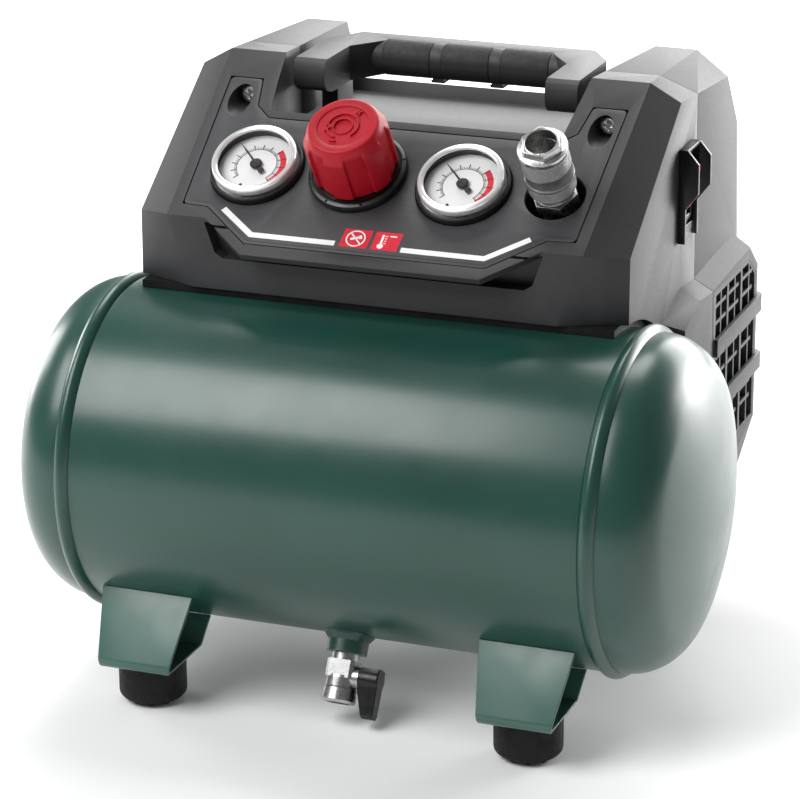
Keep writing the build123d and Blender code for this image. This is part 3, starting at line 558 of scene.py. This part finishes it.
# ------------------------------------------------------------------ knob
KNOB_FOOT = 4.7 * MM
KNOB_TOP = 34.4 * MM
LOBES = 6
FIRST_VALLEY = math.radians(0.3)
VALLEY_RADIUS = 18.6 * MM
VALLEY_HALF = 0.235
LOBE_STEP = 0.022


def bar(x, y, length, width, low, high, turn=0.0):
    """Small block on a face, with softened upright corners."""
    half = (length / 2, width / 2)
    points = [(-half[0], -half[1]), (half[0], -half[1]), (half[0], half[1]), (-half[0], half[1])]
    return moved(prism(rounded(points, min(width, length) * 0.2, 2), low, high), x, y, 0, turn)


def arc_band(inner, outer, start, end, low, high, steps=24):
    """Ring segment between two angles, in degrees anticlockwise from local X."""
    angles = [math.radians(start + (end - start) * step / steps) for step in range(steps + 1)]
    points = [(outer * math.cos(a), outer * math.sin(a)) for a in angles]
    points += [(inner * math.cos(a), inner * math.sin(a)) for a in reversed(angles)]
    return prism(points, low, high)


def lobe(angle):
    """0 in the valleys and 1 on the equally wide lobes between them, with a steep step."""
    turn = ((angle - FIRST_VALLEY) / (2 * math.pi) * LOBES) % 1.0
    away = min(turn, 1 - turn)
    return min(max((away - VALLEY_HALF) / LOBE_STEP, 0.0), 1.0)


def knob_radius(angle, radius, height):
    """Outer radius: lobes keep the full outline, valleys are cut straight down to a smaller radius."""
    if radius < 15 * MM:
        return radius
    valley = min(radius, VALLEY_RADIUS)
    return valley + (radius - valley) * lobe(angle)


def make_knob():
    """Six-lobed knob with a sloping shoulder, and raised turn marks on its top."""
    foot = KNOB_FOOT / MM
    skirt = [(9.6, foot), (19.5, foot), (20.1, foot + 0.4), (20.25, 12), (20.25, 27.6), (20.15, 28.1),
             (19.9, 28.6), (18.9, 30.4), (18.3, 31.45), (17.2, 33.4), (16.8, 34.0), (16.2, 34.35),
             (15.8, 34.4), (12.6, 34.4), (12.4, 34.3), (12.1, 33.85), (5.2, 33.85), (5.0, 34.35),
             (4.4, 34.4), (4.2, 34.2), (4.1, 33.2), (0, 33.2), (0, 24.4), (9.6, 24.4)]
    body = lathe(in_mm(skirt), 256, knob_radius)
    piece("knob_body", body, FACE, "knob", "knob_red", None, ("regulator_knob",), smooth_angle=32)
    top_low = KNOB_TOP - 0.8 * MM
    top_high = KNOB_TOP + 0.3 * MM
    marks = [arc_band(7.0 * MM, 7.9 * MM, -60, 170, top_low, top_high),
             arc_band(7.0 * MM, 7.9 * MM, 190, 240, top_low, top_high, 8),
             bar(-7.4 * MM, -0.9 * MM, 3.4 * MM, 0.8 * MM, top_low, top_high, math.radians(40)),
             bar(-6.0 * MM, 0.6 * MM, 3.0 * MM, 0.8 * MM, top_low, top_high, math.radians(-52)),
             bar(7.6 * MM, 7.2 * MM, 3.2 * MM, 0.9 * MM, top_low, top_high),
             bar(7.6 * MM, 7.2 * MM, 0.9 * MM, 3.2 * MM, top_low, top_high),
             bar(-4.6 * MM, -8.6 * MM, 3.2 * MM, 0.9 * MM, top_low, top_high, math.radians(-20))]
    piece("knob_marks", joined(marks), FACE @ Matrix.Rotation(math.radians(15), 4, "Z"), "knob", "knob_red")


make_knob()


# ------------------------------------------------------------------ knob collar
def make_collar():
    """Round collar under the knob, with eight small stops."""
    profile = [(9.6, 0.15), (23.2, 0.15), (23.8, 0.7), (23.8, 2.6), (23.4, 3.6), (22.4, 4.1), (21.6, 4.15),
               (21.3, 3.4), (20.6, 3.3), (20.4, 4.0), (9.6, 4.15)]
    piece("collar_ring", lathe(in_mm(profile), 160), FACE, "machine", "dark_plastic",
          replaces=("regulator_collar",))
    dots = [moved(lathe([(0, 3.2 * MM), (0.7 * MM, 3.2 * MM), (0.7 * MM, 4.1 * MM), (0.4 * MM, 4.4 * MM),
                         (0, 4.4 * MM)], 16), 22.6 * MM * math.cos(a), 22.6 * MM * math.sin(a))
            for a in (math.radians(45 * step + 22) for step in range(8))]
    piece("collar_stops", joined(dots), FACE, "machine", "dark_plastic")


make_collar()

# ------------------------------------------------------------------ gauges
SCALE_START = -135.0
SCALE_END = 135.0
MAJOR_TICKS = 12
REST_TURN = 45.0
DIAL_TOP = 1.95 * MM
PRINT = 0.06 * MM


def tick(angle, inner, outer, width):
    """Radial mark; the angle is clockwise from the face's up-slope direction."""
    turn = math.radians(90 - angle)
    middle = (inner + outer) / 2
    half = (outer - inner) / 2
    corners = [(-half, -width / 2), (half, -width / 2), (half, width / 2), (-half, width / 2)]
    mark = prism(corners, DIAL_TOP, DIAL_TOP + PRINT * 2)
    return moved(mark, middle * math.cos(turn), middle * math.sin(turn), 0, turn)


def make_gauge_case(name, place):
    """Cup, bright ring, a dark ring of painted shade just inside it, and the dial."""
    case = [(0, -24), (22.3, -24), (22.75, -23.5), (22.75, 2.9), (22.3, 3.5), (21.3, 3.6), (21.2, 2.0),
            (21.2, -22), (1.2, -22), (1.2, -22.4), (0, -22.4)]
    bezel = [(17.75, 6.65), (17.75, 7.2), (18.0, 7.75), (18.6, 8.05), (19.6, 8.05), (20.3, 7.75),
             (20.75, 7.1), (20.85, 6.2), (20.85, 4.6), (20.5, 3.8), (19.35, 3.75), (19.35, 6.65)]
    # painted shade: a thin dark ring just inside the bright ring, standing in for the shade under its lip
    painted_shade = [(18.6, 1.95), (19.25, 1.95), (19.25, 5.2), (18.9, 5.2)]
    piece(f"{name}_gauge_ring", lathe(in_mm(bezel), 160), place, "machine", "bezel_chrome",
          replaces=(f"{name}_gauge_bezel",))
    piece(f"{name}_gauge_painted_shade_ring", lathe(in_mm(painted_shade), 160), place, "machine",
          "dark_plastic")
    piece(f"{name}_gauge_cup", lathe(in_mm(case), 160), place, "machine", "dark_plastic",
          replaces=(f"{name}_gauge_case",))
    face_disc = [(0, 1.02), (20.8, 1.02), (20.8, 1.9), (20.6, 1.95), (1.1, 1.95), (1.1, 1.5), (0, 1.5)]
    piece(f"{name}_gauge_face", lathe(in_mm(face_disc), 128), place, "machine", "dial_white",
          replaces=(f"{name}_gauge_dial",))


def make_gauge_print(name, place):
    """Scale with coarse and fine marks, two dots and the red band."""
    step = (SCALE_END - SCALE_START) / MAJOR_TICKS
    black = [arc_band(9.7 * MM, 9.95 * MM, 90 - SCALE_END, 90 - SCALE_START, DIAL_TOP,
                      DIAL_TOP + PRINT, 64)]
    grey = []
    for major in range(MAJOR_TICKS + 1):
        angle = SCALE_START + major * step
        black.append(tick(angle, 9.9 * MM, 12.7 * MM, 0.42 * MM))
        for minor in range(1, 5):
            if major < MAJOR_TICKS:
                grey.append(tick(angle + minor * step / 5, 9.9 * MM, 11.1 * MM, 0.2 * MM))
    for angle in (45, 67.5, 90, 112.5, 135):
        black.append(tick(angle, 11.4 * MM, 14.6 * MM, 0.34 * MM))
    for side in (-1, 1):
        dot = [(0, DIAL_TOP - PRINT), (0.75 * MM, DIAL_TOP - PRINT),
               (0.75 * MM, DIAL_TOP + 4 * PRINT), (0, DIAL_TOP + 5 * PRINT)]
        black.append(moved(lathe(dot, 20), side * 4.0 * MM, -12.7 * MM))
    piece(f"{name}_gauge_scale", joined(black), place, "machine", "needle_black", "print_black")
    piece(f"{name}_gauge_fine_scale", joined(grey), place, "machine", "needle_black", "print_grey")
    red = arc_band(11.6 * MM, 14.5 * MM, 90 - 137, 90 - 43, DIAL_TOP - PRINT, DIAL_TOP + PRINT, 40)
    piece(f"{name}_gauge_red_band", red, place, "machine", "knob_red", "print_red")


def make_gauge_pointer(name, place):
    """Tapered blade with a broad tail, and its hub."""
    low, high = 3.05 * MM, 3.45 * MM
    blade = [(-0.16, 15.2), (0.16, 15.2), (0.42, 6.0), (0.62, 0.0), (1.35, -4.2), (1.55, -6.2),
             (0.8, -6.9), (-0.8, -6.9), (-1.55, -6.2), (-1.35, -4.2), (-0.62, 0.0), (-0.42, 6.0)]
    pointer = prism(in_mm(blade), low, high)
    pointer.transform(Matrix.Rotation(math.radians(REST_TURN), 4, "Z"))
    hub_outline = [(0, 2.2), (0.8, 2.2), (0.8, 2.7), (2.9, 2.7), (2.95, 3.6), (2.6, 4.0), (0, 4.2)]
    hub = lathe(in_mm(hub_outline), 48)
    piece(f"{name}_gauge_pointer", joined([pointer, hub]), place, f"{name}_needle", "needle_black",
          replaces=(f"{name}_gauge_needle",))


for gauge_name, gauge_place in GAUGES.items():
    make_gauge_case(gauge_name, gauge_place)
    make_gauge_print(gauge_name, gauge_place)
    make_gauge_pointer(gauge_name, gauge_place)


# ------------------------------------------------------------------ quick coupler
def make_coupler():
    """Turned sleeve with two knurled bands and a plain ring between them."""
    teeth = 90

    def sleeve_radius(angle, radius, height):
        """Fine upright knurl on two bands of the sleeve."""
        knurled = 8.6 * MM < height < 13.6 * MM or 21.8 * MM < height < 30.0 * MM
        if radius > 11 * MM and knurled:
            return radius - 0.14 * MM * (0.5 + 0.5 * math.cos(teeth * angle))
        return radius

    def rings(low, high, pitch, outer, inner):
        """Row of fine round grooves."""
        made = []
        count = round((high - low) / pitch)
        for index in range(count):
            base_height = low + index * pitch
            made += [(inner, base_height), (outer, base_height + pitch * 0.3),
                     (outer, base_height + pitch * 0.7), (inner, base_height + pitch)]
        return made

    profile = [(9.35, 7.65), (11.1, 7.65), (11.4, 7.9), (11.4, 8.4)]
    profile += rings(8.7, 13.5, 0.8, 11.45, 11.2)
    profile += [(11.35, 13.8), (11.75, 14.2), (11.8, 14.6), (11.8, 15.4), (11.7, 15.8), (11.25, 16.1),
                (11.25, 21.4), (11.4, 21.7)]
    profile += rings(21.9, 29.9, 0.8, 11.42, 11.22)
    profile += [(11.35, 30.2), (11.2, 30.7), (10.8, 30.95), (9.35, 30.95)]
    fine = lathe(in_mm(profile), 720, sleeve_radius)
    piece("sleeve_turned", fine, COUPLER, "coupler_sleeve", "nickel", "knurl", ("coupler_sleeve",),
          smooth_angle=50)


make_coupler()


# ------------------------------------------------------------------ printed lines on the panel
def strip(points, width, low, high):
    """Mitred band of even width along an open run of points."""
    left = []
    right = []
    for index, point in enumerate(points):
        here = Vector(point)
        before = (here - Vector(points[index - 1])).normalized() if index else None
        after = (Vector(points[index + 1]) - here).normalized() if index < len(points) - 1 else None
        along = ((before or after) + (after or before)).normalized()
        normal = Vector((-along.y, along.x))
        reach = width / 2 / max(normal.dot(Vector((-(before or after).y, (before or after).x))), 0.3)
        left.append(here + normal * reach)
        right.append(here - normal * reach)
    return prism(left + right[::-1], low, high)


def make_panel_print():
    """White stripes, the fine outline and two generic red signs, each a thin raised layer."""
    low, high = -0.02 * MM, 0.05 * MM
    white = []
    for side in (-1, 1):
        inner = 17.1 if side > 0 else 15.6
        run = [(side * 76.3, 6.6), (side * 57.8, -7.2), (side * inner, -7.2)]
        white.append(strip(in_mm(run), 2.9 * MM, low, high))
    piece("panel_stripes", joined(white), PANEL, "machine", "dial_white", "print_white")
    outer = [(-95.2, 9.9), (-83.4, 9.2), (-58.6, -10.9), (58.6, -10.9), (83.4, 9.2), (95.2, 9.9)]
    fine = joined([strip(in_mm(outer), 0.45 * MM, low, high)])
    piece("panel_fine_lines", fine, PANEL, "machine", "dark_plastic", "print_black")
    red = []
    signs = []
    for start, end in ((-13.4, 0.4), (2.2, 15.2)):
        corners = [(start, -8.6), (end, -8.6), (end + 0.6, 2.2), (start + 0.6, 2.2)]
        red.append(prism(in_mm(corners), low, high))
    piece("panel_red_signs", joined(red), PANEL, "machine", "knob_red", "print_red")
    upper = high + 0.03 * MM
    circle = arc_band(4.1 * MM, 4.8 * MM, 0, 360, low, upper, 48)
    signs.append(moved(circle, -6.3 * MM, -3.2 * MM))
    signs.append(bar(-6.3 * MM, -3.2 * MM, 8.6 * MM, 0.7 * MM, low, upper, math.radians(-45)))
    signs.append(bar(-6.6 * MM, -3.0 * MM, 4.6 * MM, 1.3 * MM, low, upper, math.radians(20)))
    signs.append(bar(-4.2 * MM, -2.2 * MM, 1.6 * MM, 2.2 * MM, low, upper, math.radians(20)))
    signs.append(bar(6.6 * MM, -2.6 * MM, 1.1 * MM, 6.4 * MM, low, upper))
    signs.append(moved(arc_band(0.01 * MM, 1.5 * MM, 0, 360, low, upper, 24), 6.6 * MM, -6.2 * MM))
    for step in range(4):
        signs.append(bar(8.3 * MM, (-4.4 + 1.4 * step) * MM, 1.2 * MM, 0.4 * MM, low, upper))
    signs.append(bar(11.6 * MM, 0.0 * MM, 3.4 * MM, 0.7 * MM, low, upper))
    piece("panel_pictograms", joined(signs), PANEL, "machine", "dial_white", "print_white")


make_panel_print()


# ------------------------------------------------------------------ feet
def make_feet():
    """Ribbed rubber feet on ten small studs."""
    for name in FOOT_NODES:
        low, high = (Vector(corner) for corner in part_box(name))
        centre = (low + high) / 2
        radius = (high.x - low.x) / 2
        tall = high.z - low.z
        stud = 1.5 * MM
        ribs = 72

        def foot_radius(angle, r, height):
            """Fine upright ribs on the side."""
            if r > radius * 0.97 and 2.5 * MM < height < tall - 1.0 * MM:
                return r - 0.12 * MM * (0.5 + 0.5 * math.cos(ribs * angle))
            return r

        profile = [(5.2, stud / MM), (13.6, stud / MM), (14.8, stud / MM + 0.4), (15.9, stud / MM + 1.6),
                   (16.25, stud / MM + 3.0), (16.25, tall / MM * 0.5), (16.25, tall / MM - 0.9),
                   (15.6, tall / MM - 0.05), (3.3, tall / MM - 0.05), (3.3, 12.0 + stud / MM),
                   (5.2, 12.0 + stud / MM)]
        parts = [lathe(in_mm(profile), 288, foot_radius)]
        for step in range(10):
            angle = math.radians(36 * step)
            spot = (11.5 * MM * math.cos(angle), 11.5 * MM * math.sin(angle))
            parts.append(moved(lathe([(0, 0.03 * MM), (1.1 * MM, 0.03 * MM), (1.55 * MM, 0.5 * MM),
                                      (1.6 * MM, 1.7 * MM), (0, 1.7 * MM)], 20), *spot))
        place = Matrix.Translation((centre.x, centre.y, low.z))
        piece(f"{name}_rubber", joined(parts), place, "machine", "foot_rubber", None, (name,))


make_feet()
